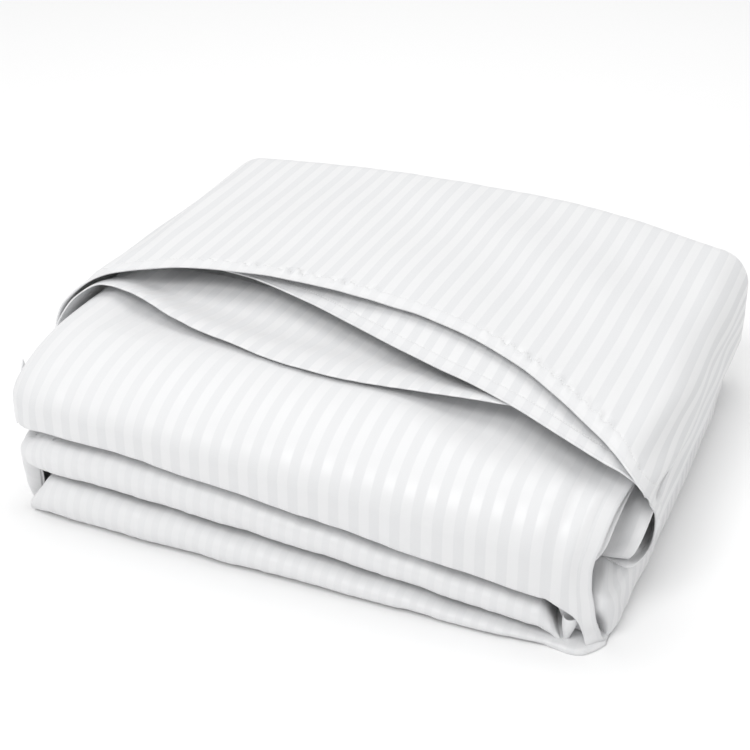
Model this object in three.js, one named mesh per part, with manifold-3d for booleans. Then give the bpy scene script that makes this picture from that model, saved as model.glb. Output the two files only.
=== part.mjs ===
// Folded duvet cover in white striped sateen, lying flat on a surface.
// Millimetres. X runs across the width, Y from the front folds to the back, Z up.
// The cover lies in one back-and-forth stack. Its hemmed mouth is on top and gapes towards the front.

import * as THREE from 'three';
import { mergeVertices } from 'three/addons/utils/BufferGeometryUtils.js';
import Module from 'manifold-3d';

// Driving dimensions of the cloth
const CLOTH = 2.4; // thickness of a loose sheet, with its air
const CLEARANCE = 0.3; // gap that pieces lying on each other keep
const SLIT = 1.6; // air between neighbouring layers of the stack
const ORIGIN_X = -11.5; // middle of the whole thing, seen from above, in the stack's own X and Y
const ORIGIN_Y = 286.5;

// Driving dimensions of the stack. Angles and shares have no unit.
const BACK_TURN = 50; // cloth left at the back, where a pair of layers turns round
const FRONT_TURN = 34; // the same at the front
const SHOULDER = 104; // depth over which the top fold's front rounds into its top
const RISE_START = 260; // where the stack starts to rise towards the back, deep inside the mouth
const RISE_END = 505;
const BACK_ROUND = 38; // radius of the stack's upper back edge
const FOLD_DEPTH = 16; // depth of the round nose of a thick fold
const HEEL = 7; // how high the top fold's front curls under at its foot, at the most
const HEEL_DEPTH = 7; // how far it curls under
const WAIST = 0.42; // share of its height where the top fold's front stands furthest forward
const THIN_LAYER = 8; // layers thinner than this lie closed on each other

// Driving dimensions of the top panel, which covers the stack and hangs over three of its sides
const PANEL_LEFT = -332;
const PANEL_RIGHT = 309;
const PANEL_ROUND = 40; // radius at which it turns over an edge
const HANG_LEFT = 106; // cloth past the edge, measured along the cloth
const HANG_RIGHT = 130;

// One row for each cut across the width, from the closed left end to the open right end.
// base, low, high: underside, and the two gaps between the three front folds.
// crown, loft: top of the stack behind its front shoulder and towards the back.
// foot, face: how far forward the two lower folds and the top fold come. back: how far back it reaches.
// slit: share of the full depth to which the gaps between the layers are open.
const SECTIONS = [
  { x: -322, base: 124, low: 124.8, high: 125.6, crown: 141, loft: 152, foot: 44, face: 44, back: 505, slit: 0 },
  { x: -319, base: 115, low: 115.8, high: 117, crown: 152, loft: 166, foot: 30, face: 27, back: 525, slit: 0 },
  { x: -312, base: 107, low: 107.8, high: 109, crown: 161, loft: 175, foot: 20, face: 13, back: 540, slit: 0 },
  { x: -310.5, base: 30, low: 31, high: 106.5, crown: 162, loft: 176, foot: 15, face: 11, back: 543, slit: 0 },
  { x: -306, base: 10, low: 11, high: 105.5, crown: 165, loft: 179, foot: 7, face: 7, back: 548, slit: 0 },
  { x: -298, base: 2, low: 5, high: 105, crown: 167, loft: 181, foot: 1, face: 3, back: 552, slit: 0 },
  { x: -286, base: 0, low: 50, high: 104, crown: 168, loft: 182.7, foot: -2, face: -2, back: 556, slit: 0.1 },
  { x: -265, base: 0, low: 52, high: 101, crown: 168, loft: 183.9, foot: -3, face: -5, back: 562, slit: 1 },
  { x: -212, base: 0, low: 48, high: 95, crown: 167, loft: 184.4, foot: -4, face: -7, back: 570, slit: 1 },
  { x: -103, base: 0, low: 37, high: 82, crown: 164, loft: 185.8, foot: -5, face: -9, back: 575, slit: 1 },
  { x: 2, base: 0, low: 29, high: 71, crown: 161, loft: 184.4, foot: -5, face: -9, back: 575, slit: 1 },
  { x: 102, base: 0, low: 20, high: 59, crown: 157, loft: 180, foot: -5, face: -8, back: 569, slit: 1 },
  { x: 198, base: 0, low: 12.5, high: 47, crown: 152, loft: 172, foot: -4, face: -6, back: 559, slit: 1 },
  { x: 248, base: 0, low: 9.5, high: 41, crown: 149, loft: 167.4, foot: -2, face: -3, back: 550, slit: 1 },
  { x: 266, base: 0, low: 9, high: 39, crown: 148, loft: 164.4, foot: 0, face: 1, back: 546, slit: 0.3 },
  { x: 276, base: 0, low: 1, high: 3, crown: 146, loft: 161, foot: 4, face: 5, back: 543, slit: 0 },
  { x: 283, base: 0, low: 1, high: 3, crown: 140, loft: 157, foot: 12, face: 13, back: 539, slit: 0 },
  { x: 286, base: 0, low: 1, high: 50, crown: 116, loft: 155, foot: 14, face: 50, back: 537, slit: 0 },
  { x: 296, base: 1, low: 2, high: 54, crown: 112, loft: 148, foot: 18, face: 54, back: 530, slit: 0 },
  { x: 301, base: 5, low: 6, high: 56, crown: 104, loft: 140, foot: 26, face: 62, back: 524, slit: 0 },
  { x: 303, base: 12, low: 13, high: 58, crown: 96, loft: 128, foot: 38, face: 74, back: 516, slit: 0 },
];

// Height of the top panel across the width, and how far back it reaches
const PANEL_TOP = [
  { x: -332, z: 187, back: 560 },
  { x: -250, z: 190, back: 572 },
  { x: -100, z: 192, back: 582 },
  { x: 60, z: 189, back: 581 },
  { x: 160, z: 182, back: 571 },
  { x: 240, z: 174, back: 560 },
  { x: 309, z: 165, back: 550 },
];

// Front hem of the top panel: u runs across the cloth, from the left hanging side to the right one
const TOP_HEM = [
  { u: -414, y: 126 },
  { u: -385, y: 131 },
  { u: -362, y: 141 },
  { u: -345, y: 153 },
  { u: -322, y: 174 },
  { u: -300, y: 197 },
  { u: -265, y: 224 },
  { u: -210, y: 236 },
  { u: -147, y: 239 },
  { u: -60, y: 235 },
  { u: 14, y: 224 },
  { u: 90, y: 198 },
  { u: 163, y: 158 },
  { u: 215, y: 116 },
  { u: 263, y: 74 },
  { u: 290, y: 50 },
  { u: 312, y: 42 },
  { u: 340, y: 54 },
  { u: 370, y: 78 },
  { u: 391, y: 84 },
];

// Front hem of the under panel, and how far it droops there below the top panel
const UNDER_HEM = [
  { u: -300, y: 231, droop: 3 },
  { u: -240, y: 232, droop: 4 },
  { u: -170, y: 231, droop: 6 },
  { u: -94, y: 210, droop: 9 },
  { u: 36, y: 162, droop: 10 },
  { u: 175, y: 115, droop: 9 },
  { u: 239, y: 82, droop: 7 },
  { u: 297, y: 52, droop: 5 },
  { u: 330, y: 52, droop: 3 },
];

const UNDER_LEFT = -290;
const UNDER_HANG = 55; // how far it follows the top panel down over the right edge
const UNDER_BACK = 500;
const DROOP_DEPTH = 110; // depth over which the droop fades away

// Front edge of the lower lip, and how far it stands clear of the top fold
const LIP_EDGE = [
  { u: -352, y: 116, lift: 6 },
  { u: -335, y: 126, lift: 7 },
  { u: -318, y: 148, lift: 8 },
  { u: -300, y: 164, lift: 8 },
  { u: -246, y: 158, lift: 7 },
  { u: -188, y: 134, lift: 3 },
  { u: -116, y: 117, lift: 1.2 },
  { u: -26, y: 104, lift: 0.6 },
  { u: 58, y: 104, lift: 0.6 },
  { u: 114, y: 114, lift: 0.6 },
  { u: 168, y: 130, lift: 0.6 },
  { u: 214, y: 142, lift: 0.6 },
];
const LIP_LEFT = -328.6; // outermost point, where it has turned over the left end
const LIP_START = -350; // the lip's ends across the width, measured along the cloth
const LIP_END = 205;
const LIP_ROUND = 34;
const LIP_BACK = 270; // the lip ends here, under the panels
const LIP_REST = 1.1; // how far it stands clear of the stack there

// Pockets in the front: x and z at the front, each drawn in to a smaller shape at its depth
const POCKET_RUN_OUT = 30; // length that a pocket's shape runs out past the front, into the air
const POCKET_RIM = 8; // depth at which it starts to draw in
const POCKETS = [
  {
    depth: 46,
    shrink: 0.45,
    corners: [[-299.5, 9], [-288, 7], [-268, 48], [-289, 55], [-298.5, 38]],
  },
  {
    depth: 34,
    shrink: 0.5,
    corners: [[252, 14], [262, 9.5], [272, 9], [276.5, 17], [272, 28], [262, 37.5], [251, 38]],
  },
];

// Smooth curve through the rows of a table: it never swings past a row
function curve(rows, key, column) {
  const xs = rows.map((row) => row[key]);
  const ys = rows.map((row) => row[column]);
  const steps = xs.slice(1).map((x, i) => x - xs[i]);
  const slopes = steps.map((step, i) => (ys[i + 1] - ys[i]) / step);
  const tangents = ys.map((_, i) => {
    if (i === 0) return slopes[0];
    if (i === ys.length - 1) return slopes[i - 1];
    if (slopes[i - 1] * slopes[i] <= 0) return 0;
    const a = 2 * steps[i] + steps[i - 1];
    const b = steps[i] + 2 * steps[i - 1];
    return (a + b) / (a / slopes[i - 1] + b / slopes[i]);
  });
  return (x) => {
    const inside = Math.min(Math.max(x, xs[0]), xs[xs.length - 1]);
    let i = steps.length - 1;
    while (i > 0 && inside < xs[i]) i -= 1;
    const t = (inside - xs[i]) / steps[i];
    const rest = (ys[i + 1] - ys[i] - steps[i] * tangents[i]) * t;
    const bend = (steps[i] * (tangents[i] + tangents[i + 1]) - 2 * (ys[i + 1] - ys[i])) * t * t * (t - 1);
    return ys[i] + t * steps[i] * tangents[i] + t * rest + bend;
  };
}

function curves(rows, key) {
  const columns = Object.keys(rows[0]).filter((column) => column !== key);
  return Object.fromEntries(columns.map((column) => [column, curve(rows, key, column)]));
}

function smooth(from, to, x) {
  return THREE.MathUtils.smoothstep(x, from, to);
}

function spread(from, to, count) {
  return Array.from({ length: count + 1 }, (_, i) => from + ((to - from) * i) / count);
}

// Points of an oval arc in the Y-Z plane, from one angle to another in degrees; 180 points to the front
function arc(y, z, depth, height, from, to, count) {
  return spread(from, to, count).map((degrees) => {
    const angle = THREE.MathUtils.degToRad(degrees);
    return [y + depth * Math.cos(angle), z + height * Math.sin(angle)];
  });
}

const section = curves(SECTIONS, 'x');
const panelTop = curves(PANEL_TOP, 'x');
const topHem = curves(TOP_HEM, 'u');
const underHem = curves(UNDER_HEM, 'u');
const lipEdge = curves(LIP_EDGE, 'u');

// Top of the stack at a place on it
function stackTop(x, y) {
  return THREE.MathUtils.lerp(section.crown(x), section.loft(x), smooth(RISE_START, RISE_END, y));
}

// Front fold between two levels: an arc whose ends meet the neighbouring gaps
function frontFold(y, bottom, top, count) {
  const depth = Math.min(0.62 * (top - bottom), FOLD_DEPTH);
  return arc(y + depth, (bottom + top) / 2, depth, (top - bottom) / 2, 270, 90, count);
}

function backFold(y, bottom, top, count) {
  const depth = Math.min(0.62 * (top - bottom), FOLD_DEPTH);
  return arc(y - depth, (bottom + top) / 2, depth, (top - bottom) / 2, 90, -90, count);
}

// Closed outline of the stack in the plane of one cut, from the underside round the front, top and back
function stackOutline(x) {
  const at = Object.fromEntries(Object.entries(section).map(([name, value]) => [name, value(x)]));
  const slitDepth = (at.back - BACK_TURN - FRONT_TURN) * at.slit;
  const lowTip = at.foot + Math.min(at.low - at.base, THIN_LAYER) + slitDepth;
  const highTip = at.foot + Math.min(at.high - at.low, THIN_LAYER) + slitDepth;
  const backTip = at.back - THIN_LAYER - slitDepth;
  const half = (SLIT / 2) * Math.min(1, (at.low - at.base) / THIN_LAYER);
  const inFirst = (at.base + at.low) / 2;
  const inSecond = (at.low + at.high) / 2;
  const inThird = (at.high + at.loft) / 2;
  const waist = at.high + WAIST * (at.crown - at.high);
  const heel = Math.min(0.3 * (at.crown - at.high), HEEL);
  const backRound = Math.min(0.42 * (at.loft - at.high), 0.7 * BACK_ROUND);
  return [
    ...spread(at.back - 12, at.foot + 18, 3).map((y) => [y, at.base]),
    ...frontFold(at.foot, at.base, at.low - half, 6),
    [lowTip, at.low],
    ...frontFold(at.foot, at.low + half, at.high - half, 6),
    [highTip, at.high],
    ...arc(at.face + HEEL_DEPTH, at.high + half + heel, HEEL_DEPTH, heel, 270, 180, 3),
    ...arc(at.face + SHOULDER, waist, SHOULDER, at.crown - waist, 180, 90, 8),
    ...spread(RISE_START, at.back - BACK_ROUND - 8, 5).map((y) => [y, stackTop(x, y)]),
    ...arc(at.back - BACK_ROUND, at.loft - backRound, BACK_ROUND, backRound, 90, 0, 4),
    [at.back - 4, inThird + half],
    [backTip, inThird],
    ...backFold(at.back - 2, inSecond + half, inThird - half, 5),
    [backTip, inSecond],
    ...backFold(at.back - 3, inFirst + half, inSecond - half, 5),
    [backTip, inFirst],
    [at.back - 5, inFirst - half],
  ];
}

// Closed solid through a row of like outlines. cap gives the triangles that close its two ends.
function loft(rings, capTriangles) {
  const size = rings[0].length;
  const positions = rings.flat(2);
  const indices = [];
  for (let i = 0; i + 1 < rings.length; i += 1) {
    for (let j = 0; j < size; j += 1) {
      const a = i * size + j;
      const b = i * size + ((j + 1) % size);
      indices.push(a, b, a + size, b, b + size, a + size);
    }
  }
  const last = (rings.length - 1) * size;
  for (const [a, b, c] of capTriangles(rings[0])) indices.push(a, c, b);
  for (const [a, b, c] of capTriangles(rings[rings.length - 1])) indices.push(last + a, last + b, last + c);
  return closedGeometry(positions, indices);
}

// Geometry with its faces turned outwards, whichever way the points ran
function closedGeometry(positions, indices) {
  let volume = 0;
  const point = (i) => new THREE.Vector3().fromArray(positions, 3 * i);
  for (let i = 0; i < indices.length; i += 3) {
    volume += point(indices[i]).dot(point(indices[i + 1]).cross(point(indices[i + 2])));
  }
  const outward = volume > 0 ? indices : indices.slice().reverse();
  const geometry = new THREE.BufferGeometry();
  geometry.setAttribute('position', new THREE.Float32BufferAttribute(positions, 3));
  geometry.setIndex(outward);
  return geometry;
}

function flatCap(first, second) {
  return (ring) => {
    const contour = ring.map((point) => new THREE.Vector2(point[first], point[second]));
    const triangles = THREE.ShapeUtils.triangulateShape(contour, []);
    return THREE.ShapeUtils.isClockWise(contour) ? triangles.map(([a, b, c]) => [a, c, b]) : triangles;
  };
}

// Cloth sheet: a grid of points on its upper side, and the same grid one thickness below it
function sheet(grid, thickness) {
  const rows = grid.length;
  const columns = grid[0].length;
  const at = (i, j) => grid[Math.min(Math.max(i, 0), rows - 1)][Math.min(Math.max(j, 0), columns - 1)];
  const across = new THREE.Vector3();
  const along = new THREE.Vector3();
  const below = grid.map((row, i) => row.map((point, j) => {
    across.subVectors(at(i, j + 1), at(i, j - 1));
    along.subVectors(at(i + 1, j), at(i - 1, j));
    const inward = across.cross(along).normalize().multiplyScalar(-thickness);
    return point.clone().add(inward);
  }));
  const positions = [...grid.flat(), ...below.flat()].flatMap((point) => point.toArray());
  const upper = (i, j) => i * columns + j;
  const lower = (i, j) => rows * columns + i * columns + j;
  const indices = [];
  const quad = (a, b, c, d) => indices.push(a, b, c, a, c, d);
  for (let i = 0; i + 1 < rows; i += 1) {
    for (let j = 0; j + 1 < columns; j += 1) {
      quad(upper(i, j), upper(i, j + 1), upper(i + 1, j + 1), upper(i + 1, j));
      quad(lower(i, j), lower(i + 1, j), lower(i + 1, j + 1), lower(i, j + 1));
    }
  }
  for (let i = 0; i + 1 < rows; i += 1) {
    quad(upper(i, 0), upper(i + 1, 0), lower(i + 1, 0), lower(i, 0));
    quad(upper(i + 1, columns - 1), upper(i, columns - 1), lower(i, columns - 1), lower(i + 1, columns - 1));
  }
  for (let j = 0; j + 1 < columns; j += 1) {
    quad(upper(0, j + 1), upper(0, j), lower(0, j), lower(0, j + 1));
    quad(upper(rows - 1, j), upper(rows - 1, j + 1), lower(rows - 1, j + 1), lower(rows - 1, j));
  }
  return closedGeometry(positions, indices);
}

// Place of a point of the flat cloth (u across, v to the back) once the cloth lies over the stack's edges.
// inset moves the whole form inwards, so that sheets can lie inside each other.
function overStack(u, v, inset) {
  const leftEdge = PANEL_LEFT + PANEL_ROUND;
  const rightEdge = PANEL_RIGHT - PANEL_ROUND;
  const x = Math.min(Math.max(u, leftEdge), rightEdge);
  const backEdge = panelTop.back(x) - PANEL_ROUND;
  const y = Math.min(v, backEdge);
  const pastSide = Math.abs(u - x);
  const pastBack = v - y;
  const past = Math.max(pastSide, pastBack);
  const turn = Math.min(past / PANEL_ROUND, Math.PI / 2);
  const radius = PANEL_ROUND - inset;
  const reach = radius * Math.sin(turn);
  const drop = radius * (1 - Math.cos(turn)) + Math.max(past - (Math.PI / 2) * PANEL_ROUND, 0);
  const heading = past > 0 ? Math.atan2(pastBack, pastSide) : 0;
  return new THREE.Vector3(
    x + Math.sign(u - x) * reach * Math.cos(heading),
    y + reach * Math.sin(heading),
    panelTop.z(x) - inset - drop,
  );
}

// Body of the cover: both panels in one back-and-forth section, closed at its left end
function makeStack(wasm) {
  const xs = [
    ...SECTIONS.slice(0, 7).map((row) => row.x),
    ...spread(-274, 248, 13),
    ...spread(254, 266, 2),
    ...SECTIONS.slice(15).map((row) => row.x),
  ];
  const rings = xs.map((x) => stackOutline(x).map(([y, z]) => [x, y, z]));
  const whole = toSolid(wasm, loft(rings, flatCap(1, 2)));
  const cut = (body, pocket) => body.subtract(toSolid(wasm, makePocket(pocket)));
  return toGeometry(POCKETS.reduce(cut, whole));
}

function makePocket({ depth, shrink, corners }) {
  const mean = (axis) => corners.reduce((sum, corner) => sum + corner[axis], 0) / corners.length;
  const middleX = mean(0);
  const middleZ = mean(1);
  const ring = (y, scale) => corners.map(([x, z]) => [
    middleX + (x - middleX) * scale,
    y,
    middleZ + (z - middleZ) * scale,
  ]);
  return loft([ring(-POCKET_RUN_OUT, 1), ring(POCKET_RIM, 1), ring(depth, shrink)], flatCap(2, 0));
}

// Top panel: from its front hem over the stack, down both sides and down the back
function makeTopPanel() {
  const left = PANEL_LEFT + PANEL_ROUND;
  const right = PANEL_RIGHT - PANEL_ROUND;
  const columns = [
    ...spread(-1, 0, 11).map((past) => ({ x: left, past })),
    ...spread(left, right, 22).slice(1).map((x) => ({ x, past: 0 })),
    ...spread(0, 1, 11).slice(1).map((past) => ({ x: right, past })),
  ];
  const rows = [
    ...spread(0, 1, 11).map((share) => ({ share, past: 0 })),
    ...spread(0, 1, 11).slice(1).map((past) => ({ share: 1, past })),
  ];
  return sheet(rows.map((row) => columns.map((column) => {
    const hang = THREE.MathUtils.mapLinear(column.x, left, right, HANG_LEFT, HANG_RIGHT);
    const u = column.x + column.past * hang;
    const v = THREE.MathUtils.lerp(topHem.y(u), panelTop.back(column.x) - PANEL_ROUND, row.share);
    return overStack(u, v + row.past * hang, 0);
  })), CLOTH);
}

// Under panel: lies inside the top panel, and its hem droops in front so that the mouth gapes
function makeUnderPanel() {
  const edge = PANEL_RIGHT - PANEL_ROUND;
  const us = [...spread(UNDER_LEFT, edge, 24), ...spread(edge, edge + UNDER_HANG, 5).slice(1)];
  const grid = spread(0, 1, 11).map((share) => us.map((u) => {
    const hem = underHem.y(u);
    const v = THREE.MathUtils.lerp(hem, UNDER_BACK, share ** 1.4);
    const droop = underHem.droop(u) * (1 - smooth(hem, hem + DROOP_DEPTH, v));
    const point = overStack(u, v, CLOTH + 2 * CLEARANCE);
    point.z -= droop;
    return point;
  }));
  return sheet(grid, CLOTH);
}

// Lower lip: lies on the top fold, stands clear of it at the left and turns down over the left end
function makeLowerLip() {
  const edgeX = LIP_LEFT + LIP_ROUND;
  const grid = spread(0, 1, 9).map((share) => spread(LIP_START, LIP_END, 34).map((u) => {
    const y = THREE.MathUtils.lerp(lipEdge.y(u), LIP_BACK, share);
    const x = Math.max(u, edgeX);
    const turn = (x - u) / LIP_ROUND;
    const lift = lipEdge.lift(u) * (1 - smooth(0, 0.8, share)) + LIP_REST * share;
    const height = stackTop(x, y) + CLEARANCE + CLOTH + lift;
    return new THREE.Vector3(x - LIP_ROUND * Math.sin(turn), y, height - LIP_ROUND * (1 - Math.cos(turn)));
  }));
  return sheet(grid, CLOTH);
}

function toSolid(wasm, geometry) {
  const merged = mergeVertices(geometry, 1e-3);
  const vertProperties = new Float32Array(merged.attributes.position.array);
  const triVerts = new Uint32Array(merged.index.array);
  return new wasm.Manifold(new wasm.Mesh({ numProp: 3, vertProperties, triVerts }));
}

function toGeometry(solid) {
  const { vertProperties, triVerts } = solid.getMesh();
  const geometry = new THREE.BufferGeometry();
  geometry.setAttribute('position', new THREE.BufferAttribute(vertProperties, 3));
  geometry.setIndex(new THREE.BufferAttribute(triVerts, 1));
  return geometry;
}

function addPiece(group, name, geometry, color) {
  const material = new THREE.MeshStandardMaterial({ color, roughness: 0.62, metalness: 0 });
  geometry.computeVertexNormals();
  const mesh = new THREE.Mesh(geometry, material);
  mesh.name = name;
  mesh.position.set(-ORIGIN_X, -ORIGIN_Y, 0);
  group.add(mesh);
}

const wasm = await Module();
wasm.setup();

const cover = new THREE.Group();
addPiece(cover, 'folded_cover', makeStack(wasm), 0xf4f4f3);
addPiece(cover, 'top_panel', makeTopPanel(), 0xf6f6f5);
addPiece(cover, 'under_panel', makeUnderPanel(), 0xf4f4f3);
addPiece(cover, 'lower_lip', makeLowerLip(), 0xf4f4f3);

export default cover;
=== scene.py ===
"""A folded duvet cover in white striped sateen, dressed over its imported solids.

Every form is worked out in the stack's own millimetres: X across the width from the closed left end
to the open right end, Y from the front folds to the back, Z up. Cloth sheets are grids of points on
such forms, raised and lowered by creases, and then given their thickness.
"""

import logging
import math
from dataclasses import dataclass
from enum import Enum
from typing import Callable, Sequence

import bmesh
import bpy
import numpy as np
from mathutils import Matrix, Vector


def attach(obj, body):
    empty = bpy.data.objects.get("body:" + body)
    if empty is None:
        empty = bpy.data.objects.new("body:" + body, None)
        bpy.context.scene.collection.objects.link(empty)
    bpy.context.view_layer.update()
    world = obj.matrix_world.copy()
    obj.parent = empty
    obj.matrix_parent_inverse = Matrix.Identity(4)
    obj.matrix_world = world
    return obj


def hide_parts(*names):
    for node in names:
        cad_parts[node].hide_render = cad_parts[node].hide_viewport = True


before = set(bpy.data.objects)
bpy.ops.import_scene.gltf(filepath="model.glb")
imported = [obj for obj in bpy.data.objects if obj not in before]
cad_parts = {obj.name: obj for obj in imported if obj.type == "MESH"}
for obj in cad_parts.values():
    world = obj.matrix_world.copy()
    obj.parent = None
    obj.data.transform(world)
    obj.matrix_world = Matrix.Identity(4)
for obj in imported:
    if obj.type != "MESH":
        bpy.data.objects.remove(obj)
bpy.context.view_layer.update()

BODY = "root"
ORIGIN_SHIFT = np.array([11.5, -286.5, 0.0])
MM = 0.001
STRIPE_PITCH = 0.020
UV_NAME = "cloth"
HEM_NAME = "hem"
EDGE_ROUND = 0.4

log = logging.getLogger("folded_cover")

Array = np.ndarray


class Slot(str, Enum):
    """The record's material slots."""

    COVER = "cover_sateen"
    PANEL = "panel_sateen"


class Side(Enum):
    """Which way a grid's points run, seen from the side that shows."""

    AS_IS = 1.0
    TURNED = -1.0


def smooth(low: float, high: float, x: Array) -> Array:
    """Smooth step from 0 at low to 1 at high."""
    t = np.clip((np.asarray(x, float) - low) / (high - low), 0.0, 1.0)
    return t * t * (3.0 - 2.0 * t)


def lerp(a: Array, b: Array, t: Array) -> Array:
    """Straight mix of a and b."""
    return a + (b - a) * t


def plateau(x: Array, start: float, full: float, fall: float, end: float) -> Array:
    """1 between full and fall, and smoothly down to 0 at start and at end."""
    return smooth(start, full, x) * (1 - smooth(fall, end, x))


class Table:
    """Smooth curves through the rows of a table: they never swing past a row."""

    def __init__(self, columns: str, rows: Sequence[Sequence[float]]) -> None:
        """Keeps the rows.

        Args:
            columns: names of the columns, the first one being what the others are looked up by.
            rows: one row of numbers for each place.
        """
        values = np.array(rows, float)
        names = columns.split()
        self.keys = values[:, 0]
        self.curves = {name: values[:, i] for i, name in enumerate(names) if i}

    def __call__(self, column: str, x: Array) -> Array:
        """Value of a column at x, held level past the ends.

        Args:
            column: name of the column.
            x: one place or an array of them.

        Returns:
            The values, in an array of the shape of x.
        """
        keys = self.keys
        values = self.curves[column]
        steps = np.diff(keys)
        slopes = np.diff(values) / steps
        tangents = np.concatenate([slopes[:1], np.zeros(len(keys) - 2), slopes[-1:]])
        for i in range(1, len(keys) - 1):
            before, after = slopes[i - 1], slopes[i]
            if before * after > 0:
                a = 2 * steps[i] + steps[i - 1]
                b = steps[i] + 2 * steps[i - 1]
                tangents[i] = (a + b) / (a / before + b / after)
        x = np.clip(np.asarray(x, float), keys[0], keys[-1])
        i = np.clip(np.searchsorted(keys, x, side="right") - 1, 0, len(steps) - 1)
        t = (x - keys[i]) / steps[i]
        rise = values[i + 1] - values[i]
        start = steps[i] * tangents[i]
        end = steps[i] * tangents[i + 1]
        return values[i] + t * start + t * t * (rise - start) + (start + end - 2 * rise) * t * t * (t - 1)


def arc(y: float, z: float, depth: float, height: float, start: float, end: float, count: int) -> Array:
    """Points of an oval arc in the Y-Z plane, with 180 degrees towards the front.

    Args:
        y, z: centre.
        depth, height: radii.
        start, end: angles in degrees.
        count: number of points.

    Returns:
        Array of count rows of y and z.
    """
    angle = np.radians(np.linspace(start, end, count))
    return np.stack([y + depth * np.cos(angle), z + height * np.sin(angle)], axis=1)

def travel_along(points: Array) -> Array:
    """Distance travelled along a path at each of its points."""
    return np.concatenate([[0.0], np.cumsum(np.linalg.norm(np.diff(points, axis=0), axis=1))])


def resample(points: Array, count: int) -> Array:
    """The same path with its points spread evenly along its length.

    Args:
        points: rows of a path.
        count: number of points.

    Returns:
        The new path.
    """
    length = travel_along(points)
    at = np.linspace(0.0, length[-1], count)
    return np.stack([np.interp(at, length, points[:, i]) for i in range(points.shape[1])], axis=1)


def join(parts: Sequence[tuple[Array, int]]) -> Array:
    """Joins stretches of a path end to end, each with its own number of points."""
    pieces = [resample(points, count) for points, count in parts]
    return np.concatenate([pieces[0]] + [piece[1:] for piece in pieces[1:]])


def soften(path: Array, rounds: int) -> Array:
    """Evens out the bends of a path, whose ends stay where they are.

    Args:
        path: rows of a path.
        rounds: number of passes.

    Returns:
        The softer path.
    """
    for _ in range(rounds):
        path = np.concatenate([path[:1], (path[:-2] + 2 * path[1:-1] + path[2:]) / 4, path[-1:]])
    return path


def left_of(path: Array) -> Array:
    """Unit directions that point to the left of the run of a path seen from above.

    Args:
        path: rows of x and y.

    Returns:
        One direction for each point.
    """
    along = np.gradient(path, axis=0)
    left = np.stack([-along[:, 1], along[:, 0]], axis=1)
    return left / np.linalg.norm(left, axis=1, keepdims=True)


def stretches(start: float, *ends: tuple[float, int]) -> Array:
    """Places in stretches that follow each other, each with its end and its count of points.

    Args:
        start: the first place.
        *ends: end and count of points of each stretch.

    Returns:
        All the places.
    """
    places = [np.array([start])]
    for end, count in ends:
        places.append(np.linspace(start, end, count)[1:])
        start = end
    return np.concatenate(places)


def shares(count: int) -> Array:
    """Even shares of a way, without its start, in a column."""
    return np.linspace(0, 1, count + 1)[1:, None]


def swept(xs: Array, section: Callable[[float], Array]) -> Array:
    """Grid of a Y-Z section that changes across the width."""
    columns = [np.column_stack([np.full(len(points), x), points]) for x, points in zip(xs, map(section, xs))]
    return np.stack(columns, axis=1)


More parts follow.
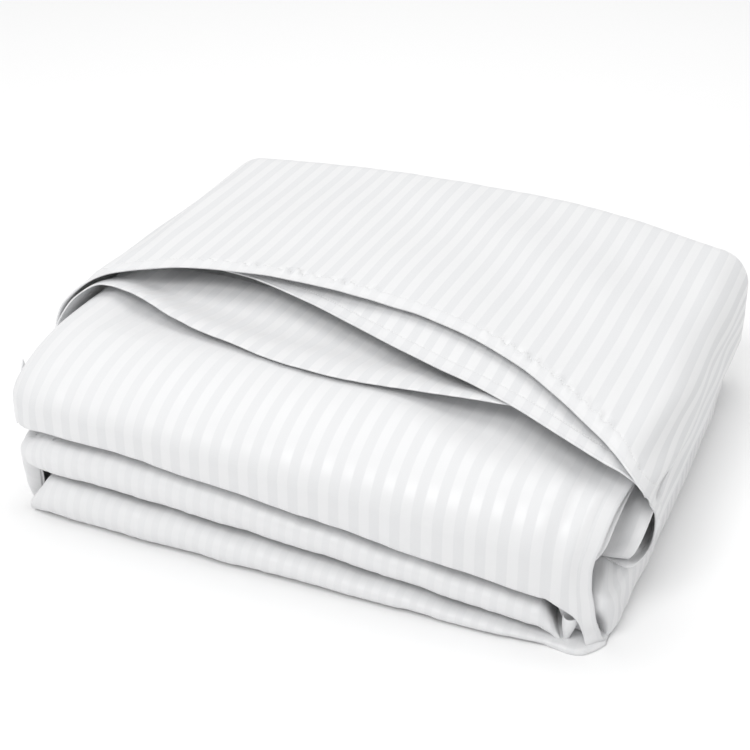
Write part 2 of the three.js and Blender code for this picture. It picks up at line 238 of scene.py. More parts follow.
@dataclass(frozen=True)
class StackForm:
    """Form of the folded stack, in its own millimetres. It repeats the driving sizes of the solids."""

    slit: float = 1.6
    shoulder: float = 104.0
    rise_start: float = 260.0
    rise_end: float = 505.0
    back_round: float = 38.0
    waist_share: float = 0.42
    heel: float = 4.0
    slot: float = 8.6
    upper_slot: float = 11.5
    sag: float = 9.0
    panel_left: float = -332.0
    panel_right: float = 309.0
    panel_round: float = 40.0
    levels: Table = Table("x base low high crown loft foot face back", [
        (-325, 127, 128, 129, 133, 134, 52, 54, 500),
        (-322, 116, 117, 118, 141, 152, 44, 44, 505),
        (-319, 100, 101, 102, 152, 166, 30, 27, 525),
        (-312, 89, 90, 91, 161, 175, 20, 13, 540),
        (-306, 10, 11, 88.5, 165, 179, 7, 7, 548),
        (-298, 2, 5, 89, 167, 181, 1, 3, 552),
        (-286, 0, 45.5, 91, 168, 182, -4, -2, 556),
        (-265, 0, 46, 93.5, 168, 183, -6, -5, 562),
        (-212, 0, 44.5, 92.5, 167, 184.4, -5, -7, 570),
        (-103, 0, 37.5, 84.5, 164, 185.8, -5, -9, 575),
        (2, 0, 30.5, 71.5, 161, 184.4, -5, -9, 575),
        (102, 0, 22, 59.5, 157, 180, -5, -8, 569),
        (198, 0, 11.5, 46, 152, 172, -4, -6, 559),
        (248, 0, 6.5, 38.5, 149, 166.4, -2, -3, 550),
        (266, 0, 3, 31, 148, 163, 0, 1, 546),
        (276, 0, 2, 15, 146, 161, 4, 5, 543),
        (292, 0, 2, 8, 142, 157, 16, 10, 537),
    ])
    panel: Table = Table("x z back", [
        (-332, 187, 544), (-314, 188, 556), (-290, 189, 565), (-250, 190, 572), (-100, 192, 582),
        (60, 189, 581), (160, 182, 571), (240, 174, 560), (280, 169.5, 553), (299, 166.5, 543),
        (309, 165, 531),
    ])

    def at(self, x: float) -> dict[str, float]:
        """All the levels at one place across the width."""
        return {name: float(self.levels(name, x)) for name in self.levels.curves}

    def opening(self, thickness: Array, slot: float) -> Array:
        """Height of the dark gap in front between two folds, less where they are thin."""
        return np.clip(0.3 * thickness, self.slit, slot)

    def top(self, x: Array, y: Array) -> Array:
        """Height of the stack's top at a place on it. It sags a little inside the mouth."""
        rise = smooth(self.rise_start, self.rise_end, y)
        return lerp(self.levels("crown", x), self.levels("loft", x), rise) - self.sagging(x, y)

    def sagging(self, x: Array, y: Array) -> Array:
        """Depth of the soft dip of the stack's top inside the mouth, deepest at the right.

        Args:
            x, y: places on the top.

        Returns:
            Depth in millimetres.
        """
        start = lerp(95.0, 20.0, smooth(0, 200, x))
        depth = self.sag * lerp(1.0, 1.5, smooth(40, 180, x)) * (1 - smooth(250, 294, np.abs(x)))
        return depth * smooth(0, 75, y - start) * (1 - smooth(260, 420, y))

    def over_edges(self, u: Array, v: Array, inset: float) -> tuple[Array, Array, Array]:
        """Where points of a flat cloth come to lie once the cloth is over the stack's edges.

        Args:
            u: place across the cloth.
            v: place along the cloth, to the back.
            inset: distance by which the whole form lies inside the top panel's.

        Returns:
            Arrays of x, y and z.
        """
        x = np.clip(u, self.panel_left + self.panel_round, self.panel_right - self.panel_round)
        y = np.minimum(v, self.panel("back", x) - self.panel_round)
        past_side = np.abs(u - x)
        past_back = v - y
        past = np.maximum(past_side, past_back)
        turn = np.minimum(past / self.panel_round, math.pi / 2)
        radius = self.panel_round - inset
        reach = radius * np.sin(turn)
        drop = radius * (1 - np.cos(turn)) + np.maximum(past - math.pi / 2 * self.panel_round, 0)
        heading = np.where(past > 0, np.arctan2(past_back, past_side), 0.0)
        return (
            x + np.sign(u - x) * reach * np.cos(heading),
            y + reach * np.sin(heading),
            self.panel("z", x) - inset - drop,
        )


FORM = StackForm()


@dataclass(frozen=True)
class Crease:
    """A soft trough or ridge in the cloth, between two places on the flat cloth, in millimetres."""

    start: tuple[float, float]
    end: tuple[float, float]
    width: float
    height: float
    bow: float = 0.0

    def __call__(self, u: Array, v: Array) -> Array:
        """How far the crease raises the cloth at each place; a trough lowers it.

        Args:
            u, v: places on the flat cloth.

        Returns:
            Height in millimetres at each place.
        """
        run = np.subtract(self.end, self.start)
        length = float(np.hypot(*run))
        along = ((u - self.start[0]) * run[0] + (v - self.start[1]) * run[1]) / length**2
        across = ((v - self.start[1]) * run[0] - (u - self.start[0]) * run[1]) / length
        across = (across - self.bow * 4 * along * (1 - along)) / self.width
        beside = np.exp(-((np.abs(across) - 2) ** 2))
        return self.height * plateau(along, -0.15, 0.3, 0.7, 1.15) * (np.exp(-(across**2)) - 0.35 * beside)


def creases(place: tuple[float, float], rows: Sequence[Sequence[float]]) -> list[Crease]:
    """Creases given one by one, each from the u and v of its start and end, its width, its height and its
    bow.

    Args:
        place: u and v that the rows count from.
        rows: one row of numbers for each crease.

    Returns:
        The creases.
    """
    u, v = place
    return [Crease((u + row[0], v + row[1]), (u + row[2], v + row[3]), *row[4:]) for row in rows]


@dataclass(frozen=True)
class Waves:
    """Uneven low waves all over a sheet, the same in each run."""

    seed: int
    wave_u: float
    wave_v: float
    height: float
    count: int = 9

    def __call__(self, u: Array, v: Array) -> Array:
        """Height of the waves at each place.

        Args:
            u, v: places on the flat cloth.

        Returns:
            Height in millimetres at each place.
        """
        rng = np.random.default_rng(self.seed)
        total = np.zeros(np.shape(u))
        for _ in range(self.count):
            stretch_u, stretch_v = rng.uniform(0.6, 1.7, 2)
            phase = rng.uniform(0, 2 * math.pi)
            sign = rng.choice([-1.0, 1.0])
            turns = u / (self.wave_u * stretch_u) + sign * v / (self.wave_v * stretch_v)
            total += np.sin(2 * math.pi * turns + phase)
        return self.height * total / math.sqrt(self.count)


def normals_of(grid: Array) -> Array:
    """Unit normals of a grid of points.

    Args:
        grid: rows along the cloth and columns across it.

    Returns:
        One direction for each point.
    """
    across = np.gradient(grid, axis=1)
    along = np.gradient(grid, axis=0)
    normal = np.cross(across, along)
    size = np.linalg.norm(normal, axis=2, keepdims=True)
    return normal / np.maximum(size, 1e-9)


def flat_sizes(grid: Array) -> Array:
    """Places of a grid's points on the flat cloth, measured along the cloth from its middle.

    Args:
        grid: points in millimetres, rows along the cloth and columns across it.

    Returns:
        Array of u and v in millimetres for each point.
    """
    step_u = np.linalg.norm(np.diff(grid, axis=1), axis=2).mean(axis=0)
    step_v = np.linalg.norm(np.diff(grid, axis=0), axis=2).mean(axis=1)
    u = np.concatenate([[0.0], np.cumsum(step_u)])
    v = np.concatenate([[0.0], np.cumsum(step_v)])
    return np.stack(np.meshgrid(u - u.mean(), v), axis=2)


@dataclass
class Sheet:
    """A sheet of cloth: a grid of points on the side that shows, its relief and its thickness."""

    name: str
    grid: Array
    flat: Array
    side: Side
    thickness: float = 1.5
    edge_thickness: Array | None = None
    reliefs: Sequence[Callable[[Array, Array], Array]] = ()
    relief_share: Array | float = 1.0
    doubled: Array | None = None
    stripe_scale: float = 1.0

    def points(self) -> Array:
        """The side that shows, with its relief, in millimetres.

        Returns:
            Array of the grid's shape.
        """
        if not self.reliefs:
            return self.grid
        normal = normals_of(self.grid) * self.side.value
        u, v = self.flat[..., 0], self.flat[..., 1]
        height = self.relief_share * sum(relief(u, v) for relief in self.reliefs)
        return self.grid + normal * height[..., None]

    def area(self) -> float:
        """Area of the flat cloth in square metres.

        Returns:
            The area.
        """
        steps = np.diff(self.flat, axis=1)[:-1], np.diff(self.flat, axis=0)[:, :-1]
        cells = steps[0][..., 0] * steps[1][..., 1] - steps[0][..., 1] * steps[1][..., 0]
        return float(np.abs(cells).sum()) * MM * MM

    def build(self) -> bpy.types.Object:
        """Makes the closed mesh of the sheet, with a round edge.

        Returns:
            The new object, at the origin.
        """
        shown = self.points()
        rows, columns = shown.shape[:2]
        thick = self.edge_thickness
        if thick is None:
            thick = np.full((rows, columns), self.thickness)
        thick = thick.reshape(-1, 1)
        hidden = shown.reshape(-1, 3) - (normals_of(shown) * self.side.value).reshape(-1, 3) * thick
        shown = shown.reshape(-1, 3)
        index = np.arange(rows * columns).reshape(rows, columns)
        rim = np.concatenate([index[0, :-1], index[:-1, -1], index[-1, :0:-1], index[:0:-1, 0]])
        edge = (shown[rim] + hidden[rim]) / 2 + self._outward(index, shown)[rim] * thick[rim] * EDGE_ROUND
        places = (np.concatenate([shown, hidden, edge]) + ORIGIN_SHIFT) * MM
        uv = self.flat.reshape(-1, 2) * MM * np.array([self.stripe_scale, 1.0])
        mesh = make_mesh(self.name, places, self._faces(index, rim), np.concatenate([uv, uv, uv[rim]]))
        if self.doubled is not None:
            share = self.doubled.ravel()
            layer = mesh.attributes.new(HEM_NAME, "FLOAT", "POINT")
            layer.data.foreach_set("value", np.concatenate([share, share, share[rim]]).astype(np.float32))
        return add_object(self.name, mesh)

    def _faces(self, index: Array, rim: Array) -> Array:
        """Faces of both sides and of the two bands that join them round the rim, in outward order.

        Args:
            index: point numbers of the grid.
            rim: point numbers round the rim.

        Returns:
            Four point numbers for each face.
        """
        count = index.size
        quads = np.stack([index[:-1, :-1], index[:-1, 1:], index[1:, 1:], index[1:, :-1]], -1).reshape(-1, 4)
        ring = np.arange(len(rim)) + 2 * count
        after = np.roll(ring, -1)
        rim_after = np.roll(rim, -1)
        near = np.stack([rim_after, rim, ring, after], -1)
        far = np.stack([after, ring, rim + count, rim_after + count], -1)
        faces = np.concatenate([quads, quads[:, ::-1] + count, near, far])
        return faces[:, ::-1] if self.side is Side.TURNED else faces

    @staticmethod
    def _outward(index: Array, points: Array) -> Array:
        """Unit directions that point out of the sheet at its rim, zero elsewhere.

        Args:
            index: point numbers of the grid.
            points: rows of x, y and z.

        Returns:
            One direction for each point.
        """
        out = np.zeros_like(points)
        for edge, inside in ((index[0], index[1]), (index[-1], index[-2]),
                             (index[:, 0], index[:, 1]), (index[:, -1], index[:, -2])):
            out[edge] += points[edge] - points[inside]
        size = np.linalg.norm(out, axis=1, keepdims=True)
        return out / np.maximum(size, 1e-9)


def add_object(name: str, data: bpy.types.ID) -> bpy.types.Object:
    """Puts a new object into the scene, at the origin.

    Args:
        name: name of the object.
        data: its mesh, light or camera.

    Returns:
        The new object.
    """
    made = bpy.data.objects.new(name, data)
    bpy.context.scene.collection.objects.link(made)
    return made


def make_mesh(name: str, points: Array, faces: Array, uv: Array) -> bpy.types.Mesh:
    """Makes a smooth mesh of four-sided faces with one UV map.

    Args:
        name: name of the mesh.
        points: places in metres.
        faces: four point numbers for each face, in outward order.
        uv: place on the flat cloth of each point, in metres.

    Returns:
        The mesh.
    """
    mesh = bpy.data.meshes.new(name)
    mesh.vertices.add(len(points))
    mesh.vertices.foreach_set("co", np.asarray(points, np.float32).ravel())
    mesh.loops.add(faces.size)
    mesh.loops.foreach_set("vertex_index", faces.astype(np.int32).ravel())
    mesh.polygons.add(len(faces))
    mesh.polygons.foreach_set("loop_start", np.arange(0, faces.size, 4, dtype=np.int32))
    mesh.polygons.foreach_set("use_smooth", np.ones(len(faces), bool))
    mesh.update(calc_edges=True)
    layer = mesh.uv_layers.new(name=UV_NAME)
    layer.data.foreach_set("uv", uv[faces.ravel()].astype(np.float32).ravel())
    mesh.validate()
    return mesh


class Wire:
    """An output of a shader tree that sums and products can be made with."""

    def __init__(self, tree: "ShaderTree", socket: bpy.types.NodeSocket) -> None:
        """Keeps the tree and the socket."""
        self.tree = tree
        self.socket = socket

    def _math(self, operation: str, first: "Wire | float", second: "Wire | float") -> "Wire":
        """Adds one Math node."""
        return self.tree.add("ShaderNodeMath", {"operation": operation}, {0: first, 1: second})

    def __add__(self, other: "Wire | float") -> "Wire":
        """Sum."""
        return self._math("ADD", self, other)

    def __sub__(self, other: "Wire | float") -> "Wire":
        """Difference."""
        return self._math("SUBTRACT", self, other)

    def __rsub__(self, other: float) -> "Wire":
        """Difference from a number."""
        return self._math("SUBTRACT", other, self)

    def __mul__(self, other: "Wire | float") -> "Wire":
        """Product."""
        return self._math("MULTIPLY", self, other)


class ShaderTree:
    """Node tree of one material."""

    def __init__(self, name: str) -> None:
        """Makes the material and empties its tree.

        Args:
            name: name of the material.
        """
        self.material = bpy.data.materials.new(name)
        self.material.use_nodes = True
        self.tree = self.material.node_tree
        self.tree.nodes.clear()

    def add(self, kind: str, settings: dict | None = None, inputs: dict | None = None,
            output: int | str = 0) -> Wire:
        """Adds a node.

        Args:
            kind: the node's type.
            settings: properties, set first.
            inputs: values or wires by socket name or number.
            output: which output is given back.

        Returns:
            That output as a wire.
        """
        node = self.tree.nodes.new(kind)
        for key, value in (settings or {}).items():
            setattr(node, key, value)
        for key, value in (inputs or {}).items():
            if isinstance(value, Wire):
                self.tree.links.new(value.socket, node.inputs[key])
            else:
                node.inputs[key].default_value = value
        return Wire(self, node.outputs[output])

    def step(self, value: Wire, low: float, high: float) -> Wire:
        """Smooth step of a wire from 0 at low to 1 at high."""
        return self.add("ShaderNodeMapRange", {"interpolation_type": "SMOOTHSTEP"},
                        {"Value": value, "From Min": low, "From Max": high})

    def bump(self, height: Wire, strength: float, distance: float) -> Wire:
        """Low relief of the surface, which catches the light but leaves the mesh as it is."""
        inputs = {"Strength": strength, "Distance": distance, "Height": height}
        return self.add("ShaderNodeBump", None, inputs)

    def grain(self, scale: float) -> Wire:
        """Even noise through the whole object."""
        place = self.add("ShaderNodeTexCoord", output="Object")
        return self.add("ShaderNodeTexNoise", None, {"Vector": place, "Scale": scale, "Detail": 1.0})

    def mix(self, share: Wire, first: tuple, second: tuple) -> Wire:
        """Mix of two colours."""
        return self.add("ShaderNodeMix", {"data_type": "RGBA"}, {0: share, 6: first, 7: second}, 2)

    def finish(self, inputs: dict) -> bpy.types.Material:
        """Adds the surface and the output, and gives the material back.

        Args:
            inputs: values or wires by the surface's socket names.

        Returns:
            The material.
        """
        surface = self.add("ShaderNodeBsdfPrincipled", None, inputs)
        output = self.tree.nodes.new("ShaderNodeOutputMaterial")
        self.tree.links.new(surface.socket, output.inputs["Surface"])
        return self.material


@dataclass(frozen=True)
class Sateen:
    """White cotton sateen: bright satin stripes between duller ones, woven in one cloth."""

    name: str = "white_sateen"
    satin: tuple = (0.782, 0.784, 0.789, 1.0)
    ground: tuple = (0.712, 0.717, 0.726, 1.0)
    satin_roughness: float = 0.38
    ground_roughness: float = 0.66
    stripe_edge: float = 0.0007
    stripe_strength: float = 0.92
    hem_tone: float = 0.75
    hem_strength: float = 0.45

    def build(self) -> bpy.types.Material:
        """Makes the material, whose stripes follow the flat cloth.

        Returns:
            The material.
        """
        tree = ShaderTree(self.name)
        place = tree.add("ShaderNodeUVMap", {"uv_map": UV_NAME})
        across = tree.add("ShaderNodeSeparateXYZ", None, {0: place})
        half = STRIPE_PITCH / 2
        wave = tree.add("ShaderNodeMath", {"operation": "PINGPONG"}, {0: across, 1: half})
        stripe = tree.step(wave, half / 2 - self.stripe_edge, half / 2 + self.stripe_edge)
        slub = self._noise(tree, place, (900.0, 60.0, 1.0), 3.0)
        cloud = self._noise(tree, place, (9.0, 7.0, 1.0), 2.0)
        thread = self._noise(tree, place, (2600.0, 420.0, 1.0), 2.0)
        doubled = tree.add("ShaderNodeAttribute", {"attribute_name": HEM_NAME}, output="Fac")
        woven = stripe * self.stripe_strength + (cloud - 0.5) * 0.22 + (slub - 0.5) * 0.10
        share = woven + doubled * (self.hem_tone - woven) * self.hem_strength
        gloss = stripe * (self.satin_roughness - self.ground_roughness) + self.ground_roughness
        return tree.finish({
            "Base Color": tree.mix(share, self.ground, self.satin),
            "Roughness": gloss + (slub - 0.5) * 0.06,
            "Normal": tree.bump(thread * 0.5 + stripe * 0.6, 0.35, 0.00012),
            "IOR": 1.46,
            "Sheen Weight": 0.22,
            "Sheen Roughness": 0.45,
        })

    @staticmethod
    def _noise(tree: ShaderTree, place: Wire, scale: tuple, detail: float) -> Wire:
        """Noise on the flat cloth, finer along one of its directions than along the other.

        Args:
            tree: the material's tree.
            place: place on the flat cloth.
            scale: how fine the noise is each way.
            detail: number of finer layers.

        Returns:
            The noise.
        """
        spread = tree.add("ShaderNodeVectorMath", {"operation": "MULTIPLY"}, {0: place, 1: scale})
        return tree.add("ShaderNodeTexNoise", {"noise_dimensions": "2D"},
                        {"Vector": spread, "Scale": 1.0, "Detail": detail})


@dataclass(frozen=True)
class Thread:
    """White sewing thread of the hem."""

    name: str = "white_thread"
    colour: tuple = (0.88, 0.88, 0.875, 1.0)
    shade: tuple = (0.74, 0.74, 0.74, 1.0)

    def build(self) -> bpy.types.Material:
        """Makes the material, with the twist of the thread.

        Returns:
            The material.
        """
        tree = ShaderTree(self.name)
        twist = tree.grain(1500.0)
        return tree.finish({
            "Base Color": tree.mix(twist, self.shade, self.colour),
            "Roughness": 0.5,
            "Normal": tree.bump(twist, 0.4, 0.0001),
            "Sheen Weight": 0.2,
        })


@dataclass(frozen=True)
class PaleFloor:
    """Plain white studio floor."""

    name: str = "pale_floor"
    colour: tuple = (0.93, 0.93, 0.93, 1.0)
    shade: tuple = (0.925, 0.925, 0.925, 1.0)

    def build(self) -> bpy.types.Material:
        """Makes the material, a little uneven.

        Returns:
            The material.
        """
        tree = ShaderTree(self.name)
        colour = tree.mix(tree.grain(3.0), self.shade, self.colour)
        return tree.finish({"Base Color": colour, "Roughness": 0.9, "Specular IOR Level": 0.1})


@dataclass
class CoverBody:
    """The stack below the mouth: the front folds, the walls at both ends and the folds at the back."""

    material: bpy.types.Material
    even_material: bpy.types.Material
    nose_depth: float = 16.0
    ply_depth: float = 120.0
    left_nose: float = -325.0
    closed_end: float = -286.0
    end_from: float = 250.0
    end_to: float = 284.0
    end_stretches: tuple = ((264, 7), (276, 19), (284, 8))
    lower_stripes: float = 1.35
    end_edge: Table = Table("z x", [
        (0, 290), (12, 286), (30, 282), (47, 279), (65, 275.5), (80, 275), (96, 277),
        (104, 279.5), (117, 282), (132, 286), (140, 290.5), (150, 293), (190, 296),
    ])
    right_lip: Table = Table("x z", [
        (236, 49), (246.8, 42.4), (259.3, 34.8), (265.8, 29.8), (270.2, 20.9), (272.4, 5), (274, 0.4),
        (284, 0.4),
    ])
    left_rim: Table = Table("run low high power ply", [
        (0, 49.6, 88, 2.1, 120), (8, 49.8, 87.4, 2.1, 60), (16, 50.6, 86, 2.1, 14), (24, 51.8, 84.4, 2.2, 6),
        (32, 52.6, 82.6, 2.3, 3), (38, 52, 81.5, 2.4, 2.5), (42, 48, 81, 2.6, 2.5),
        (45.5, 36, 81, 3.0, 2.5), (48.5, 20, 81, 3.4, 2.5), (51, 6, 81, 3.8, 3), (54, 0.9, 81.5, 4.2, 5),
        (80, 0.9, 84, 5, 18), (140, 0.9, 90, 5, 22), (620, 0.9, 92, 5, 22),
    ])
    right_foot: Table = Table("x top foot", [
        (240, 6.0, -4.6), (254, 4.6, -5.4), (264, 3.8, -6.4), (270, 3.4, -5.8),
        (275, 3.0, -4.0), (281, 2.4, 1.4), (287, 2.0, 9.5), (291, 1.6, 17),
    ])

    def build(self) -> list[bpy.types.Object]:
        """Makes and dresses every piece of the body.

        Returns:
            The finished pieces.
        """
        striped = (self.upper_fold, self.back_folds, self.right_wall, self.side_roll, self.inner_ply)
        even = (self.middle_fold, self.bottom_fold, self.tip_curl)
        pieces = []
        for forms, material in ((striped, self.material), (even, self.even_material)):
            pieces += [dress(form(), material, "folded_cover") for form in forms]
        return pieces

    def _upper_section(self, x: float, inset: float = 0.0) -> Array:
        """Section of the top fold: its lower ply, heel, front, shoulder, top and back.

        Args:
            x: place across the width.
            inset: distance inside the top fold's own cloth.

        Returns:
            Rows of y and z.
        """
        at = FORM.at(x)
        lip = at["high"] + float(FORM.opening(at["high"] - at["low"], FORM.upper_slot)) / 2
        lip = lerp(lip, float(self.right_lip("z", x)), float(smooth(232, 244, x))) + inset
        crown, loft, back = (at[name] - inset for name in ("crown", "loft", "back"))
        face = at["face"] + inset
        chest = max(at["high"], 40.0) if x > 200 else at["high"]
        waist = chest + FORM.waist_share * (crown - chest)
        heel = FORM.heel
        heel_top = lip + 3.5 * heel
        above_heel = 1 if waist > heel_top else 6
        back_round = min(0.42 * (loft - lip), 0.7 * FORM.back_round)
        shoulder_end = face + FORM.shoulder
        front = np.concatenate([
            arc(face + heel, heel_top, heel, 3.5 * heel, 270, 180, 18),
            arc(shoulder_end, waist, FORM.shoulder, crown - waist, 180, 90, 40)[above_heel:],
        ])
        front[:, 1] -= FORM.sagging(np.full(len(front), x), front[:, 0])
        ys = np.linspace(shoulder_end, back - FORM.back_round, 30)
        top = np.stack([ys, FORM.top(np.full(ys.shape, x), ys) - inset], axis=1)
        round_back = arc(back - FORM.back_round, loft - back_round, FORM.back_round, back_round, 90, 0, 12)
        down = np.array([round_back[-1], [back - 3, (at["high"] + loft) / 2 + 1]])
        ply = np.array([[face + heel + self.ply_depth * 2, lip], [face + heel, lip]])
        return soften(join([(ply, 10), (front, 92), (top, 30), (round_back, 12), (down, 5)]), 2)

    def upper_fold(self) -> Sheet:
        """The big top fold, closed and round at its left end and open at its right end.

        Returns:
            The sheet, before it is made a mesh.
        """
        nose = 1 - np.cos(np.linspace(0, math.pi / 2, 26))
        xs = np.concatenate([
            self.left_nose + (self.closed_end - self.left_nose) * nose,
            stretches(self.closed_end, (self.end_from, 196), *self.end_stretches)[1:],
        ])
        grid = self._turn_in(self._shape_right_end(swept(xs, self._upper_section), xs))
        flat = flat_sizes(grid)
        flat[..., 0] -= np.interp(0.0, grid[60, :len(xs), 0], flat[60, :len(xs), 0])
        by_hand = creases((0, float(flat[10, 0, 1])), [
            (-296, 20, -262, 92, 9, -1.4),
            (-250, 8, -238, 66, 7, -0.7),
            (243, 22, 251, 112, 7, -1.2),
            (262, 30, 266, 120, 6, 1.0),
            (222, 40, 236, 130, 9, 0.8),
            (268, 60, 240, 150, 8, -0.9),
        ])
        reliefs = [Waves(11, 150, 260, 0.55), Waves(12, 34, 120, 0.16), *by_hand]
        return Sheet("upper_fold", grid, flat, Side.AS_IS, 1.6, reliefs=reliefs)

    def _shape_right_end(self, grid: Array, xs: Array, further: Array | float = 0.0) -> Array:
        """Brings the right end of a fold to its uneven edge, further right by the given lengths.

        Args:
            grid: points of the fold.
            xs: place across the width of each column.
            further: lengths past the edge.

        Returns:
            The grid, moved.
        """
        share = np.clip((xs - self.end_from) / (self.end_to - self.end_from), 0, 1)
        edge = self.end_edge("x", grid[..., 2]) + further
        grid[..., 0] = np.where(share > 0, self.end_from + (edge - self.end_from) * share, grid[..., 0])
        low = 1 - smooth(0, 34, grid[..., 2])
        grid[..., 1] += 9 * low * smooth(0.3, 1.0, share)
        toe = (1 - smooth(0, 15, grid[..., 2])) * plateau(grid[..., 0], 270, 275, 277, 290)
        grid[..., 1] -= 7.5 * toe * (grid[..., 1] < 60)
        return grid

    def _turn_in(self, grid: Array) -> Array:
        """Folds the edge at the right end in behind the cloth.

        Args:
            grid: points of the fold.

        Returns:
            The grid with the new columns.
        """
        outward = normals_of(grid)[:, -1]
        edge = grid[:, -1]
        across = np.array([1.0, 0.0, 0.0])
        steps = ((1.3, 1.0), (1.4, 2.6), (0.0, 3.9), (-6.0, 4.6), (-16.0, 5.6), (-32.0, 7.0))
        extra = [edge + across * past - outward * depth for past, depth in steps]
        return np.concatenate([grid, np.stack(extra, axis=1)], axis=1)

    def inner_ply(self) -> Sheet:
        """The second ply just inside the top fold, whose edge looks out at the right.

        Returns:
            The sheet, before it is made a mesh.
        """
        xs = stretches(200, (self.end_from, 10), *self.end_stretches)
        grid = swept(xs, lambda x: self._upper_section(x, 7.5)[8:126])
        grid = self._shape_right_end(grid, xs, lerp(-6.0, 4.5, smooth(72, 100, grid[..., 2])))
        return Sheet("inner_ply", grid, flat_sizes(grid), Side.AS_IS, 1.5)

    def _depth(self, height: float) -> float:
        """How far the nose of a fold of this height reaches."""
        return min(0.62 * height, self.nose_depth)

    def _nose(self, depth: float, low: float, high: float, power: float, ply: float, count: int) -> Array:
        """Distance inwards and height from a fold's upper ply, round its nose, to its lower ply.

        Args:
            depth: how far the nose stands out.
            low, high: heights of the two plies.
            power: 2 for an oval nose, more for a squarer one.
            ply: length of the plies.
            count: number of points round the nose.

        Returns:
            The section's rows.
        """
        angle = np.linspace(math.pi / 2, -math.pi / 2, count)
        half = (high - low) / 2
        out = np.sign(np.cos(angle)) * np.abs(np.cos(angle)) ** (2 / power)
        up = np.sign(np.sin(angle)) * np.abs(np.sin(angle)) ** (2 / power)
        nose = np.stack([depth * (1 - out), low + half * (1 + up)], axis=1)
        upper = np.array([[depth + ply, high + 0.01], nose[0]])
        lower = np.array([nose[-1], [depth + ply, low - 0.01]])
        return join([(upper, 8), (nose, count), (lower, 8)])

    def middle_fold(self) -> Sheet:
        """The middle fold and the wall that its cloth makes round the left end.

        Returns:
            The sheet, before it is made a mesh.
        """
        front_x = np.concatenate([np.linspace(258, 236, 14), np.linspace(232, -270, 170)])
        recess = np.interp(front_x, [-270, -215, 110, 200, 236, 258], [0, -1, -1, -1, 0, 6])
        front = np.stack([front_x, FORM.levels("foot", front_x) + recess], axis=1)
        corner = np.array([(-270, -4.8), (-281, -4.4), (-291, -2.6), (-299, 0.6), (-305, 5.0),
                           (-308.6, 11.0), (-310.6, 20.0), (-311.4, 40.0), (-311.6, 80.0)])
        side = np.array([(-311.6, 80.0), (-312, 280.0), (-311, 470.0), (-308, 515.0), (-300, 538.0),
                         (-286, 550.0), (-266, 555.0)])
        plan = np.concatenate([front, soften(resample(corner, 60), 4)[1:], soften(resample(side, 90), 6)[1:]])
        xs = plan[:, 0]
        travel = travel_along(plan)
        corner_run = travel - travel[len(front) - 1]
        high = FORM.levels("high", xs)
        low = FORM.levels("low", np.maximum(xs, -265))
        fold = {
            "high": high - FORM.opening(high - low, FORM.upper_slot) / 2,
            "low": low + FORM.opening(high - low, FORM.slot) / 2,
            "power": 2.1,
            "ply": self.ply_depth,
        }
        at_corner = corner_run > 0
        for name, value in fold.items():
            fold[name] = np.where(at_corner, self.left_rim(name, corner_run), value)
        tip = smooth(232, 258, xs)
        fold["high"] = lerp(fold["high"], 3.2, tip**1.7)
        fold["low"] = np.where(xs > 225, lerp(fold["low"], 0.9, tip), fold["low"])
        columns = []
        for place, inward, low, high, power, ply in zip(
            plan, -left_of(plan), fold["low"], fold["high"], fold["power"], fold["ply"]
        ):
            section = self._nose(self._depth(high - low), low, high, power, ply, 64)
            columns.append(np.column_stack([place + inward * section[:, :1], section[:, 1]]))
        grid = np.stack(columns, axis=1)
        flat = flat_sizes(grid)
        flat[..., 0] *= -1
        reliefs = [Waves(21, 60, 90, 0.5), Waves(22, 17, 40, 0.16)]
        return Sheet("middle_fold", grid, flat, Side.AS_IS, 1.6, reliefs=reliefs,
                     stripe_scale=self.lower_stripes)

    def _bottom_section(self, x: float) -> Array:
        """Section of the bottom fold: its nose, its underside and the rear that turns in.

        Args:
            x: place across the width.

        Returns:
            Rows of y and z.
        """
        low = FORM.levels("low", x)
        top = float(low - FORM.opening(low, FORM.slot) / 2)
        recess = np.interp(x, [-290, -212, -100, 50, 198, 248], [0, 5, 7, 7, 6, 2])
        foot = float(FORM.levels("foot", x) - recess)
        if x > 240:
            top = float(self.right_foot("top", x))
            foot = float(self.right_foot("foot", x))
        hover = 3.6 * float(plateau(x, -292, -268, 225, 262))
        upper = self._nose(self._depth(top), hover, top, 1.9, self.ply_depth, 44)[:-7] + [foot, 0.0]
        back = float(FORM.levels("back", x))
        rise = max(float(FORM.levels("low", max(x, self.closed_end))) / 2 - FORM.slit / 2, 3.0)
        bend = min(8.0, rise / 2)
        rear = np.concatenate([
            arc(back - 12, bend, 10.0, bend, 270, 360, 8),
            arc(back - 12, rise - bend, 10.0, bend, 0, 90, 8),
            [[back - 60, rise + 0.1]],
        ])
        under = np.array([upper[-1], [foot + 48, 0.0], [back - 12, 0.0]])
        return join([(upper, 60), (under, 14), (rear, 30)])

